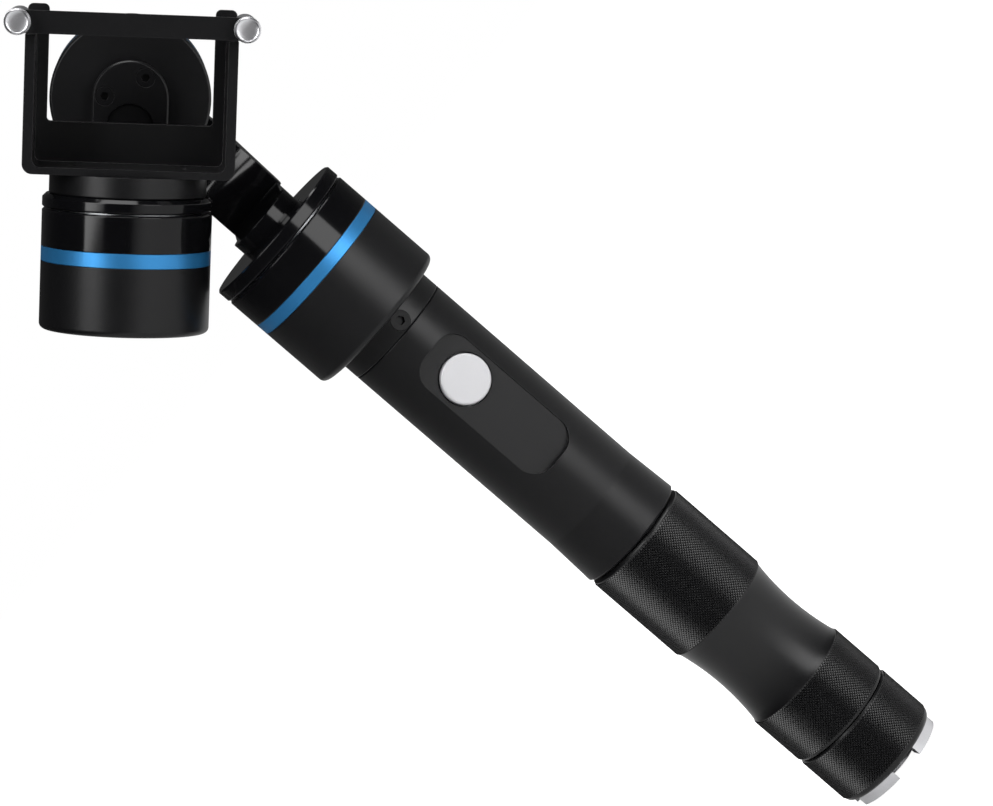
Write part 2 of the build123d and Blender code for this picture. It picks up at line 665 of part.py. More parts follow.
with BuildPart() as pan_arm:
    with BuildSketch(pan_side):
        with BuildLine():
            Polyline(
                (0, PAN_TOP_Z),
                (FOOT_STEP_Y, PAN_TOP_Z),
                (FOOT_STEP_Y + FOOT_STEP_L, PAN_TOP_Z - FOOT_DROP),
                (NECK_FRONT_Y, PAN_TOP_Z - FOOT_DROP),
                (FOOT_BACK_Y, NECK_BOTTOM_Z),
                (FOOT_BACK_Y, FOOT_TOP_Z),
                (0, FOOT_TOP_Z),
                close=True,
            )
        make_face()
    extrude(amount=FOOT_HALF_W, both=True)
    with BuildSketch(Plane(origin=(PAN_X, 0, PAN_TOP_Z))):
        Circle(PAN_COLLAR_R)
    extrude(amount=PAN_COLLAR_T)
    with BuildSketch(pan_side):
        with BuildLine():
            ThreePointArc((NECK_FRONT_Y, NECK_BOTTOM_Z), NECK_FRONT_MID, NECK_SHOULDER)
            Polyline(
                NECK_SHOULDER,
                (SADDLE_FRONT_Y, SADDLE_Z),
                (SADDLE_FRONT_Y, SADDLE_IN_Z),
                (SADDLE_BACK_Y, SADDLE_IN_Z),
                (SADDLE_BACK_Y, SADDLE_Z),
            )
            ThreePointArc((SADDLE_BACK_Y, SADDLE_Z), NECK_BACK_MID, HEEL_TOP)
            ThreePointArc(HEEL_TOP, HEEL_MID, HEEL_BOTTOM)
            Line(HEEL_BOTTOM, (NECK_FRONT_Y, NECK_BOTTOM_Z))
        make_face()
    extrude(amount=NECK_HALF_W, both=True)
    with BuildSketch(ROLL_BASE):
        Circle(MOTOR_R)
    extrude(amount=cover_top(ROLL_HEIGHTS), mode=Mode.SUBTRACT)
    with BuildSketch(Plane(origin=(PAN_X, 0, PAN_TOP_Z))):
        for turn in PAN_SCREW_TURNS:
            with PolarLocations(ARM_SCREW_CIRCLE, 1, start_angle=turn):
                Circle(M2_HOLE_R)
    extrude(amount=ARM_SCREW_BITE, mode=Mode.SUBTRACT)
write(pan_arm, "pan_arm")

PAN_HEAD_R = 1.9
PAN_HEAD_T = 1.3
pan_web_bottom = PAN_BASE_Z + cover_top(PAN_HEIGHTS) + SEAM_GAP - BELL_WEB
with BuildPart() as pan_arm_screws:
    with BuildSketch(Plane(origin=(PAN_X, 0, pan_web_bottom - PAN_HEAD_T))):
        for turn in PAN_SCREW_TURNS:
            with PolarLocations(ARM_SCREW_CIRCLE, 1, start_angle=turn):
                Circle(PAN_HEAD_R)
    extrude(amount=PAN_HEAD_T)
    with BuildSketch(Plane(origin=(PAN_X, 0, pan_web_bottom))):
        for turn in PAN_SCREW_TURNS:
            with PolarLocations(ARM_SCREW_CIRCLE, 1, start_angle=turn):
                Circle(M2_R)
    extrude(amount=PAN_TOP_Z + ARM_SCREW_BITE - ARM_SCREW_END_GAP - pan_web_bottom)
write(pan_arm_screws, "pan_arm_screws")

# ---- roll arm: a flat plate on the roll motor's cap and a foot to the tilt housing ------
ARM_END = DRUM_BOTTOM - motor_length(TILT_HEIGHTS) + 0.5
ARM_FOOT_L = 13.0
ARM_FOOT_FRONT = 14.0
RECESS_R = 5.3
RECESS_DROP = 6.4
RECESS_DEPTH = 1.4
LID_R = 5.2
LID_T = 0.7
ARM_HEX_R = 1.0
ARM_HEX_DEPTH = 1.1
ARM_SCREW_REACH = 3.6
ARM_SCREW_END_Y = PLATE_Y + PLATE_T + ARM_SCREW_REACH

# How deep each screw's head lies below the plate's face. The last is under the lid.
ARM_SCREW_FACES = (0, 0, RECESS_DEPTH)

with BuildPart() as roll_arm:
    with BuildSketch(facing(PLATE_Y + PLATE_T)):
        Circle(ARM_HALF_W)
        with Locations((0, ARM_END / 2)):
            Rectangle(2 * ARM_HALF_W, -ARM_END)
    extrude(amount=PLATE_T)
    chamfer(roll_arm.edges().group_by(Axis.Y)[0], EDGE)
    with BuildSketch(HEAD.offset(ARM_END)):
        with Locations((0, (ARM_FOOT_FRONT + PLATE_Y + PLATE_T) / 2)):
            Rectangle(2 * ARM_HALF_W, PLATE_Y + PLATE_T - ARM_FOOT_FRONT)
    extrude(amount=ARM_FOOT_L)
    with BuildSketch(TILT_BASE):
        Circle(TILT_MOTOR_R)
    extrude(amount=cover_top(TILT_HEIGHTS), mode=Mode.SUBTRACT)
    with BuildSketch(facing(PLATE_Y + RECESS_DEPTH)):
        with Locations((0, -RECESS_DROP)):
            Circle(RECESS_R)
    extrude(amount=RECESS_DEPTH, mode=Mode.SUBTRACT)
    for turn, face in zip(ARM_SCREW_TURNS, ARM_SCREW_FACES):
        with BuildSketch(facing(PLATE_Y + face + ARM_SCREW_SINK)):
            with PolarLocations(ARM_SCREW_CIRCLE, 1, start_angle=turn):
                Circle(ARM_SCREW_R + SCREW_HOLE_CLEARANCE)
        extrude(amount=face + ARM_SCREW_SINK, mode=Mode.SUBTRACT)
        with BuildSketch(facing(PLATE_Y + PLATE_T)):
            with PolarLocations(ARM_SCREW_CIRCLE, 1, start_angle=turn):
                Circle(M2_HOLE_R)
        extrude(amount=PLATE_T, mode=Mode.SUBTRACT)
write(roll_arm, "roll_arm")

with BuildPart() as arm_lid:
    with BuildSketch(facing(PLATE_Y + RECESS_DEPTH)):
        with Locations((0, -RECESS_DROP)):
            Circle(LID_R)
    extrude(amount=LID_T)
write(arm_lid, "arm_lid")

with BuildPart() as roll_arm_screws:
    for turn, face in zip(ARM_SCREW_TURNS, ARM_SCREW_FACES):
        with BuildSketch(facing(ARM_SCREW_END_Y)):
            with PolarLocations(ARM_SCREW_CIRCLE, 1, start_angle=turn):
                Circle(M2_R)
        extrude(amount=ARM_SCREW_END_Y - PLATE_Y - face - ARM_SCREW_SINK)
        with BuildSketch(facing(PLATE_Y + face + ARM_SCREW_SINK)):
            with PolarLocations(ARM_SCREW_CIRCLE, 1, start_angle=turn):
                Circle(ARM_SCREW_R)
        extrude(amount=ARM_SCREW_SINK)
        with BuildSketch(facing(PLATE_Y + face + ARM_HEX_DEPTH)):
            with PolarLocations(ARM_SCREW_CIRCLE, 1, start_angle=turn):
                RegularPolygon(radius=ARM_HEX_R, side_count=6)
        extrude(amount=ARM_HEX_DEPTH, mode=Mode.SUBTRACT)
write(roll_arm_screws, "roll_arm_screws")

# ---- drum and tray on the tilt motor's cap ----------------------------------------------
SHELF_BOTTOM = SHELF_TOP - SHELF_T
IMU_POCKET = 15.0
IMU_POCKET_T = 3.0
IMU_SIZE = 14.0
IMU_CHIP = 4.0
IMU_CHIP_T = 0.9

with BuildPart() as tilt_drum:
    with BuildSketch(HEAD.offset(DRUM_BOTTOM)):
        Circle(DRUM_R)
    extrude(amount=SHELF_BOTTOM - DRUM_BOTTOM)
    chamfer(tilt_drum.edges().sort_by(Axis(HEAD_ORIGIN, HEAD_Z))[0], EDGE)
    with BuildSketch(HEAD.offset(DRUM_BOTTOM)):
        Rectangle(IMU_POCKET, IMU_POCKET)
    extrude(amount=IMU_POCKET_T, mode=Mode.SUBTRACT)
    with BuildSketch(HEAD.offset(DRUM_BOTTOM)):
        for turn in TRAY_SCREW_TURNS:
            with PolarLocations(TRAY_SCREW_CIRCLE, 1, start_angle=turn):
                Circle(M2_HOLE_R)
    extrude(amount=SHELF_BOTTOM - DRUM_BOTTOM, mode=Mode.SUBTRACT)
write(tilt_drum, "tilt_drum")

with BuildPart() as imu_board:
    with BuildSketch(HEAD.offset(DRUM_BOTTOM + IMU_POCKET_T - BOARD_T)):
        Rectangle(IMU_SIZE, IMU_SIZE)
    extrude(amount=BOARD_T)
    with BuildSketch(HEAD.offset(DRUM_BOTTOM + IMU_POCKET_T - BOARD_T - IMU_CHIP_T)):
        Rectangle(IMU_CHIP, IMU_CHIP)
    extrude(amount=IMU_CHIP_T)
write(imu_board, "imu_board")

TRAY_CORNER_R = 2.2
TRAY_INNER_R = 1.6
EAR_CORNER_R = 1.2
TAB_R = 2.6
WINDOW_CORNER_R = 0.8
TRAY_SCREW_HEAD_R = 1.9
TRAY_SCREW_HEAD_T = 1.0
TRAY_HEX_R = 0.9
TRAY_HEX_DEPTH = 0.7
TRAY_SCREW_END_GAP = 0.4
BACK_Y = BACK_FRONT + BACK_T
inner_half_w = TRAY_HALF_W - TRAY_WALL
leg_mid = (WINDOW_HALF_W + TRAY_HALF_W) / 2
leg_w = TRAY_HALF_W - WINDOW_HALF_W

with BuildPart() as camera_tray:
    with BuildSketch(facing(BACK_Y)) as outline:
        with Locations((0, (SHELF_BOTTOM + SIDE_TOP) / 2)):
            Rectangle(2 * TRAY_HALF_W, SIDE_TOP - SHELF_BOTTOM)
        fillet(outline.vertices().group_by(Axis.Y)[0], TRAY_CORNER_R)
    extrude(amount=BACK_Y - TRAY_FRONT)
    with BuildSketch(facing(BACK_FRONT)) as hollow:
        with Locations((0, (SHELF_TOP + EAR_TOP) / 2)):
            Rectangle(2 * inner_half_w, EAR_TOP - SHELF_TOP)
        fillet(hollow.vertices().group_by(Axis.Y)[0], TRAY_INNER_R)
    extrude(amount=BACK_FRONT - TRAY_FRONT, mode=Mode.SUBTRACT)
    with BuildSketch(facing(BACK_Y)) as window:
        with Locations((0, (WINDOW_BOTTOM + EAR_TOP) / 2)):
            Rectangle(2 * WINDOW_HALF_W, EAR_TOP - WINDOW_BOTTOM)
        fillet(window.vertices().group_by(Axis.Y)[0], WINDOW_CORNER_R)
    extrude(amount=BACK_T, mode=Mode.SUBTRACT)
    with BuildSketch(facing(BACK_Y)) as ears:
        with Locations((-leg_mid, (SIDE_TOP + EAR_TOP) / 2), (leg_mid, (SIDE_TOP + EAR_TOP) / 2)):
            Rectangle(leg_w, EAR_TOP - SIDE_TOP)
        fillet(ears.vertices().group_by(Axis.Y)[-1], EAR_CORNER_R)
        with Locations((-POST_X, POST_H), (POST_X, POST_H)):
            Circle(TAB_R)
    extrude(amount=BACK_T)
    with BuildSketch(HEAD.offset(SHELF_TOP - TRAY_SCREW_HEAD_T)):
        for turn in TRAY_SCREW_TURNS:
            with PolarLocations(TRAY_SCREW_CIRCLE, 1, start_angle=turn):
                Circle(TRAY_SCREW_HEAD_R + SCREW_HOLE_CLEARANCE)
    extrude(amount=TRAY_SCREW_HEAD_T, mode=Mode.SUBTRACT)
    with BuildSketch(HEAD.offset(SHELF_BOTTOM)):
        for turn in TRAY_SCREW_TURNS:
            with PolarLocations(TRAY_SCREW_CIRCLE, 1, start_angle=turn):
                Circle(M2_HOLE_R)
    extrude(amount=SHELF_T, mode=Mode.SUBTRACT)
write(camera_tray, "camera_tray")

tray_screw_end = DRUM_BOTTOM - TILT_HEIGHTS["cap"] + TRAY_SCREW_END_GAP
with BuildPart() as tray_screws:
    with BuildSketch(HEAD.offset(tray_screw_end)):
        for turn in TRAY_SCREW_TURNS:
            with PolarLocations(TRAY_SCREW_CIRCLE, 1, start_angle=turn):
                Circle(M2_R)
    extrude(amount=SHELF_TOP - TRAY_SCREW_HEAD_T - tray_screw_end)
    with BuildSketch(HEAD.offset(SHELF_TOP - TRAY_SCREW_HEAD_T)):
        for turn in TRAY_SCREW_TURNS:
            with PolarLocations(TRAY_SCREW_CIRCLE, 1, start_angle=turn):
                Circle(TRAY_SCREW_HEAD_R)
    extrude(amount=TRAY_SCREW_HEAD_T)
    with BuildSketch(HEAD.offset(SHELF_TOP - TRAY_HEX_DEPTH)):
        for turn in TRAY_SCREW_TURNS:
            with PolarLocations(TRAY_SCREW_CIRCLE, 1, start_angle=turn):
                RegularPolygon(radius=TRAY_HEX_R, side_count=6)
    extrude(amount=TRAY_HEX_DEPTH, mode=Mode.SUBTRACT)
write(tray_screws, "tray_screws")

POST_BORE_R = SCREW_R + SCREW_HOLE_CLEARANCE
POST_BORE_L = 9.0
BAR_HOLE_R = SCREW_R + 0.1
BAR_FRONT = POST_FRONT - BAR_T

with BuildPart() as tray_posts:
    with BuildSketch(facing(BACK_FRONT)):
        with Locations((-POST_X, POST_H), (POST_X, POST_H)):
            Circle(POST_R)
    extrude(amount=BACK_FRONT - POST_FRONT)
    with BuildSketch(facing(POST_FRONT + POST_BORE_L)):
        with Locations((-POST_X, POST_H), (POST_X, POST_H)):
            Circle(POST_BORE_R)
    extrude(amount=POST_BORE_L, mode=Mode.SUBTRACT)
write(tray_posts, "tray_posts")

with BuildPart() as clamp_bar:
    with BuildSketch(facing(POST_FRONT)):
        with Locations((0, POST_H)):
            SlotCenterToCenter(2 * POST_X, BAR_H)
        with Locations((-POST_X, POST_H), (POST_X, POST_H)):
            Circle(BAR_HOLE_R, mode=Mode.SUBTRACT)
    extrude(amount=BAR_T)
write(clamp_bar, "clamp_bar")


def thumb_screw(x):
    """Round-headed screw through one end of the clamp bar into its post."""
    with BuildPart() as screw:
        with BuildSketch(facing(BAR_FRONT)):
            with Locations((x, POST_H)):
                Circle(SCREW_HEAD_R)
        extrude(amount=SCREW_HEAD_L)
        chamfer(screw.edges().group_by(Axis.Y)[0], EDGE)
        with BuildSketch(facing(BAR_FRONT + SCREW_L)):
            with Locations((x, POST_H)):
                Circle(SCREW_R)
        extrude(amount=SCREW_L)
    return screw


write(thumb_screw(-POST_X), "left_thumb_screw")
write(thumb_screw(POST_X), "right_thumb_screw")
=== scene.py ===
import json
from math import cos, radians, sin, sqrt, tau

import bmesh
import bpy
from mathutils import Matrix, Vector


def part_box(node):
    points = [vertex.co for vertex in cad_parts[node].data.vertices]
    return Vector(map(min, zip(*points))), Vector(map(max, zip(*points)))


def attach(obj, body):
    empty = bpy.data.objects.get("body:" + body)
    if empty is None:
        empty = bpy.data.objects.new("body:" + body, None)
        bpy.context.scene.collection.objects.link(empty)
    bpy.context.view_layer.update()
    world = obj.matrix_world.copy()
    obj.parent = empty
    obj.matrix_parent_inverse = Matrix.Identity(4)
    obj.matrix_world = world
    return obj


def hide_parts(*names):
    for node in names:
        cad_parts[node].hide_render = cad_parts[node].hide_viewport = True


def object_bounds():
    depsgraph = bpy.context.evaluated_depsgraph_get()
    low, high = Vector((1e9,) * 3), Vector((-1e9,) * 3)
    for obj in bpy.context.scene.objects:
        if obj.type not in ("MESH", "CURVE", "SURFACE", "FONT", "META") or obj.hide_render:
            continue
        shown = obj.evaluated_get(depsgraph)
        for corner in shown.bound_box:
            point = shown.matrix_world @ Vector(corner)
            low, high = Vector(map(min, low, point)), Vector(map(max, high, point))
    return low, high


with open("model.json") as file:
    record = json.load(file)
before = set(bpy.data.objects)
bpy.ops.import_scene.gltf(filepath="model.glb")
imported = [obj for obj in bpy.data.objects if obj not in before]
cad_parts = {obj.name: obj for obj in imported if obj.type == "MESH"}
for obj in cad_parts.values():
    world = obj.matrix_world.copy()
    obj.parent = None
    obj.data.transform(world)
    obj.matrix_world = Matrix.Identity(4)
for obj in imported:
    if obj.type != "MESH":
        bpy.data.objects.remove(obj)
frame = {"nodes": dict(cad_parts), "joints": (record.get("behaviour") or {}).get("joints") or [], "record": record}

cad_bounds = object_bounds()
nodes = frame["nodes"]
joints = {joint["name"]: joint for joint in frame["joints"]}
MM = 0.001

# The head's own directions, from the tilt joint: up from the tilt motor, and across the tray.
HEAD_UP = Vector(joints["tilt"]["axis"]).normalized()
HEAD_ACROSS = Vector((HEAD_UP.z, 0, -HEAD_UP.x))


# ---------------------------------------------------------------------------------------
# Mesh helpers
# ---------------------------------------------------------------------------------------
def new_piece(name, mesh, body, material, replaced=()):
    """Link a mesh as a piece that rides on a body and takes the material it is given."""
    piece = bpy.data.objects.new(name, mesh)
    bpy.context.scene.collection.objects.link(piece)
    mesh.materials.append(material)
    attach(piece, body)
    if replaced:
        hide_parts(*replaced)
    return piece


def smooth(mesh, angle):
    """Smooth shading with creases kept sharper than an angle in degrees."""
    for polygon in mesh.polygons:
        polygon.use_smooth = True
    mesh.set_sharp_from_angle(angle=radians(angle))


def finished_mesh(name, bm, angle):
    """Mesh of a bmesh with its faces turned outwards and its shading set."""
    bmesh.ops.recalc_face_normals(bm, faces=bm.faces)
    mesh = bpy.data.meshes.new(name)
    bm.to_mesh(mesh)
    bm.free()
    smooth(mesh, angle)
    return mesh


def ring_of(bm, radius, height, steps):
    """Ring of points about Z."""
    turns = [tau * i / steps for i in range(steps)]
    return [bm.verts.new((radius * cos(turn), radius * sin(turn), height)) for turn in turns]


def bridge(bm, low, high):
    """Band of faces between two rings."""
    for i in range(len(low)):
        j = (i + 1) % len(low)
        bm.faces.new((low[i], low[j], high[j], high[i]))


# ---------------------------------------------------------------------------------------
# Materials
# ---------------------------------------------------------------------------------------
SLOW_SCALE = 90.0
GRAIN_DEPTH = 0.02 * MM


def add_noise(tree, place, scale, detail):
    """Noise texture in the object's own space."""
    noise = tree.nodes.new("ShaderNodeTexNoise")
    noise.inputs["Scale"].default_value = scale
    noise.inputs["Detail"].default_value = detail
    tree.links.new(place.outputs["Object"], noise.inputs["Vector"])
    return noise


def material(name, colour, roughness, metallic=0.0, coat=0.0, coat_roughness=0.03, grain=0.0,
             grain_size=0.25, variation=0.08, specular=0.5, edge=0.0):
    """Procedural finish: a fine grain in the bump, and slow changes of colour and roughness.

    An edge is the radius in mm that sharp edges are softened by where light catches them.
    """
    mat = bpy.data.materials.new(name)
    mat.use_nodes = True
    tree = mat.node_tree
    shader = tree.nodes["Principled BSDF"]
    shader.inputs["Metallic"].default_value = metallic
    shader.inputs["Specular IOR Level"].default_value = specular
    shader.inputs["Coat Weight"].default_value = coat
    shader.inputs["Coat Roughness"].default_value = coat_roughness
    place = tree.nodes.new("ShaderNodeTexCoord")

    slow = add_noise(tree, place, SLOW_SCALE, 4.0)
    fine = add_noise(tree, place, 1.0 / (grain_size * MM), 2.0)

    rough = tree.nodes.new("ShaderNodeMapRange")
    rough.inputs["To Min"].default_value = roughness * (1 - variation)
    rough.inputs["To Max"].default_value = roughness * (1 + variation)
    tree.links.new(slow.outputs["Fac"], rough.inputs["Value"])
    tree.links.new(rough.outputs["Result"], shader.inputs["Roughness"])

    half = tree.nodes.new("ShaderNodeMath")
    half.operation = "MULTIPLY"
    half.inputs[1].default_value = 0.5
    tree.links.new(slow.outputs["Fac"], half.inputs[0])
    both = tree.nodes.new("ShaderNodeMath")
    both.operation = "MULTIPLY_ADD"
    both.inputs[1].default_value = 0.5
    tree.links.new(fine.outputs["Fac"], both.inputs[0])
    tree.links.new(half.outputs["Value"], both.inputs[2])
    ramp = tree.nodes.new("ShaderNodeValToRGB")
    low, high = ramp.color_ramp.elements
    low.position, high.position = 0.35, 0.65
    low.color = (*[c * (1 - variation) for c in colour], 1)
    high.color = (*[min(1.0, c * (1 + variation)) for c in colour], 1)
    tree.links.new(both.outputs["Value"], ramp.inputs["Fac"])
    tree.links.new(ramp.outputs["Color"], shader.inputs["Base Color"])

    bump = tree.nodes.new("ShaderNodeBump")
    bump.inputs["Strength"].default_value = grain
    bump.inputs["Distance"].default_value = GRAIN_DEPTH
    tree.links.new(fine.outputs["Fac"], bump.inputs["Height"])
    tree.links.new(bump.outputs["Normal"], shader.inputs["Normal"])
    if edge:
        softened = tree.nodes.new("ShaderNodeBevel")
        softened.samples = 4
        softened.inputs["Radius"].default_value = edge * MM
        tree.links.new(softened.outputs["Normal"], bump.inputs["Normal"])
    return mat


MATERIALS = {
    "matte_black": material("matte_black", (0.004, 0.004, 0.0045), 0.34, specular=0.26, grain=0.5,
                            grain_size=0.12, edge=0.25),
    "knurled_black": material("knurled_black", (0.004, 0.004, 0.0045), 0.30, specular=0.34, grain=0.3,
                              grain_size=0.12),
    "satin_black": material("satin_black", (0.005, 0.005, 0.0055), 0.30, specular=0.3, grain=0.4,
                            grain_size=0.15, edge=0.25),
    "gloss_black": material("gloss_black", (0.003, 0.003, 0.0035), 0.10, specular=0.24, grain=0.03,
                            grain_size=0.8, edge=0.25),
    "blue_anodised": material("blue_anodised", (0.03, 0.21, 0.48), 0.38, metallic=0.65, grain=0.4,
                              grain_size=0.1),
    "silver": material("silver", (0.66, 0.66, 0.68), 0.32, metallic=1.0, grain=0.3, grain_size=0.15),
    "button_silver": material("button_silver", (0.50, 0.50, 0.515), 0.42, metallic=0.2, grain=0.5,
                              grain_size=0.12, variation=0.03),
    "steel": material("steel", (0.50, 0.51, 0.53), 0.30, metallic=1.0, grain=0.3),
    "black_steel": material("black_steel", (0.004, 0.004, 0.0045), 0.36, specular=0.2, grain=0.3,
                            grain_size=0.1, edge=0.15),
    "magnet": material("magnet", (0.62, 0.61, 0.60), 0.18, metallic=1.0, grain=0.2),
    "copper": material("copper", (0.60, 0.22, 0.09), 0.30, metallic=1.0, grain=1.0, grain_size=0.3),
    "brass": material("brass", (0.80, 0.58, 0.25), 0.25, metallic=1.0, grain=0.2),
    "cell_wrap": material("cell_wrap", (0.10, 0.22, 0.38), 0.35, grain=0.2),
    "circuit_board": material("circuit_board", (0.01, 0.10, 0.035), 0.35, grain=0.5),
    "black_plastic": material("black_plastic", (0.012, 0.012, 0.012), 0.45, grain=0.4),
    "rubber": material("rubber", (0.012, 0.012, 0.012), 0.75, grain=0.8),
}

slots = {entry["node"]: entry["material_slot"] for entry in frame["record"]["subparts"]}
for node_name, node in nodes.items():
    node.data.materials.clear()
    node.data.materials.append(MATERIALS[slots[node_name]])
    smooth(node.data, 25)

# The roll motor's turning cap is duller than the other two.
nodes["roll_rotor_cap"].data.materials[0] = MATERIALS["satin_black"]

# The pan arm's cast edges are rounded.
ARM_EDGE_R = 1.1 * MM
ARM_CREASE = radians(40)
rounding = nodes["pan_arm"].modifiers.new("rounded_edges", "BEVEL")
rounding.width = ARM_EDGE_R
rounding.segments = 3
rounding.limit_method = "ANGLE"
rounding.angle_limit = ARM_CREASE

# ---------------------------------------------------------------------------------------
# Knurled sleeves on the rear tube and the tail cap
# ---------------------------------------------------------------------------------------
KNURL_COUNT = 108
KNURL_DEPTH = 0.28 * MM
GRIP_R = (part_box("rear_tube")[1][0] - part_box("rear_tube")[0][0]) / 2
KNURL_BASE_R = GRIP_R - KNURL_DEPTH


def knurl(bm, bottom, top, steps):
    """Lattice of pyramids round the grip. Returns its first and last ring.

    Odd lattice points are the tips and even ones the crossings of the grooves, and each tip
    has four facets down to the crossings round it.
    """
    pitch = tau * GRIP_R / KNURL_COUNT
    rows = max(2, 2 * round((top - bottom) / pitch))
    rings = []
    for row in range(rows + 1):
        height = bottom + (top - bottom) * row / rows
        points = []
        for i in range(steps):
            tip = (i + row) % 2 == 1 and 0 < row < rows
            radius = GRIP_R if tip else KNURL_BASE_R
            turn = tau * i / steps
            points.append(bm.verts.new((radius * cos(turn), radius * sin(turn), height)))
        rings.append(points)
    for row in range(rows):
        for i in range(steps):
            j = (i + 1) % steps
            a, b, c, d = rings[row][i], rings[row][j], rings[row + 1][j], rings[row + 1][i]
            if (i + row) % 2 == 1:
                bm.faces.new((a, b, d))
                bm.faces.new((b, c, d))
            else:
                bm.faces.new((a, b, c))
                bm.faces.new((a, c, d))
    return rings[0], rings[-1]


def knurled_turning(name, sections, closed):
    """Turned mesh of plain rings ("ring", radius, height) and knurls ("knurl", bottom, top).

    A closed one runs back to its first ring, as a tube does. An open one is shut by a disc at
    each end of its profile.
    """
    steps = 2 * KNURL_COUNT
    bm = bmesh.new()
    first = last = None
    for kind, start, end in sections:
        if kind == "knurl":
            low, high = knurl(bm, start, end, steps)
        else:
            low = high = ring_of(bm, start, end, steps)
        if last:
            bridge(bm, last, low)
        first = first or low
        last = high
    if closed:
        bridge(bm, last, first)
    else:
        bm.faces.new(first)
        bm.faces.new(last)
    return finished_mesh(name, bm, 12)


TUBE_R = 13.3 * MM
WAIST_R = 12.3 * MM
WAIST_TOP = 53.7 * MM
TAIL_KNURL_TOP = 30.8 * MM
BORE_R = 9.6 * MM
SPIGOT_R = 11.85 * MM
CAP_SPIGOT_R = 11.25 * MM
CAP_SOCKET_R = 11.3 * MM
CAP_BORE_R = 8.6 * MM
CAP_FLOOR_TOP = 12.0 * MM
INSERT_R = 6.0 * MM
INSERT_TOP = 9.5 * MM
RING_FOOT_R = 9.6 * MM
RING_FOOT_TOP = 4.5 * MM
TAIL_EDGE_R = 1.2 * MM
GROOVE_HALF_W = 0.85 * MM
GROOVE_DEPTH = 1.6 * MM
SEAM_GAP = 0.3 * MM
EDGE = 0.5 * MM

# A seam's rim is turned down by RIM_DROP over RIM_L, and a knurl starts KNURL_INSET from it.
RIM_DROP = 0.45 * MM
RIM_L = 0.3 * MM
KNURL_INSET = 0.1 * MM
KNURL_RELIEF = 0.2 * MM
SHOULDER_DROP = 0.9 * MM
SHOULDER_L = 0.7 * MM

rear_low, rear_high = (corner[2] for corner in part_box("rear_tube"))
cap_low, cap_high = (corner[2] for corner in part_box("tail_cap"))
cap_seam = rear_low - SEAM_GAP
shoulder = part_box("front_tube")[0][2] - SEAM_GAP


def groove(ring_node, radius):
    """Rings of the square groove that an O-ring sits in, from the lower edge to the upper."""
    low, high = (corner[2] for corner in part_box(ring_node))
    middle = (low + high) / 2
    bottom, top, root = middle - GROOVE_HALF_W, middle + GROOVE_HALF_W, radius - GROOVE_DEPTH
    return [("ring", radius, bottom), ("ring", root, bottom), ("ring", root, top), ("ring", radius, top)]


def waist(steps=16):
    """Rings of the gentle hollow between the two knurls, one arc through its narrowest point."""
    low, high = TAIL_KNURL_TOP + EDGE, WAIST_TOP - EDGE
    half = (high - low) / 2
    sag = TUBE_R - WAIST_R
    bend = (half * half + sag * sag) / (2 * sag)
    heights = [-half + 2 * half * i / steps for i in range(steps + 1)]
    return [("ring", WAIST_R + bend - sqrt(bend * bend - z * z), low + half + z) for z in heights]


new_piece("knurled_rear_grip", knurled_turning("knurled_rear_grip", [
    ("ring", GRIP_R - RIM_DROP, rear_low),
    ("ring", KNURL_BASE_R, rear_low + RIM_L),
    ("knurl", rear_low + RIM_L + KNURL_INSET, TAIL_KNURL_TOP - KNURL_RELIEF),
    *waist(),
    ("knurl", WAIST_TOP + KNURL_INSET, shoulder - SHOULDER_L - KNURL_RELIEF),
    ("ring", KNURL_BASE_R, shoulder - SHOULDER_L),
    ("ring", GRIP_R - SHOULDER_DROP, shoulder),
    ("ring", SPIGOT_R, shoulder),
    *groove("joint_o_ring", SPIGOT_R),
    ("ring", SPIGOT_R, rear_high),
    ("ring", BORE_R, rear_high),
    ("ring", BORE_R, cap_high + SEAM_GAP),
    ("ring", CAP_SOCKET_R, cap_high + SEAM_GAP),
    ("ring", CAP_SOCKET_R, rear_low),
], closed=True), "handle", MATERIALS["knurled_black"], ["rear_tube"])

end_round = [radians(15 * i) for i in range(7)]
new_piece("knurled_tail_cap", knurled_turning("knurled_tail_cap", [
    ("ring", INSERT_R, INSERT_TOP),
    ("ring", INSERT_R, RING_FOOT_TOP),
    ("ring", RING_FOOT_R, RING_FOOT_TOP),
    ("ring", RING_FOOT_R, cap_low),
    *[("ring", KNURL_BASE_R - TAIL_EDGE_R * (1 - sin(turn)), cap_low + TAIL_EDGE_R * (1 - cos(turn)))
      for turn in end_round],
    ("knurl", cap_low + TAIL_EDGE_R + KNURL_INSET, cap_seam - RIM_L - KNURL_INSET),
    ("ring", GRIP_R - RIM_DROP, cap_seam),
    ("ring", CAP_SPIGOT_R, cap_seam),
    *groove("tail_o_ring", CAP_SPIGOT_R),
    ("ring", CAP_SPIGOT_R, cap_high),
    ("ring", CAP_BORE_R, cap_high),
    ("ring", CAP_BORE_R, CAP_FLOOR_TOP),
], closed=False), "tail_cap", MATERIALS["knurled_black"], ["tail_cap"])

# ---------------------------------------------------------------------------------------
# Thumb screws with straight knurls and turned, dished faces
# ---------------------------------------------------------------------------------------
SCREW_TEETH = 52
TOOTH_DEPTH = 0.17 * MM
HEAD_L = 3.6 * MM
SHANK_R = 1.5 * MM

# The head's profile in mm: in from its rim, down from its face, and whether it is toothed.
HEAD_PROFILE = [
    (0.5, 3.6, False), (0.25, 3.35, False), (0.0, 3.3, True), (0.0, 0.5, True),
    (0.2, 0.4, False), (0.3, 0.08, False), (0.4, 0.0, False), (0.52, 0.0, False),
    (0.66, 0.16, False), (0.8, 0.2, False), (1.5, 0.3, False), (2.3, 0.34, False),
]


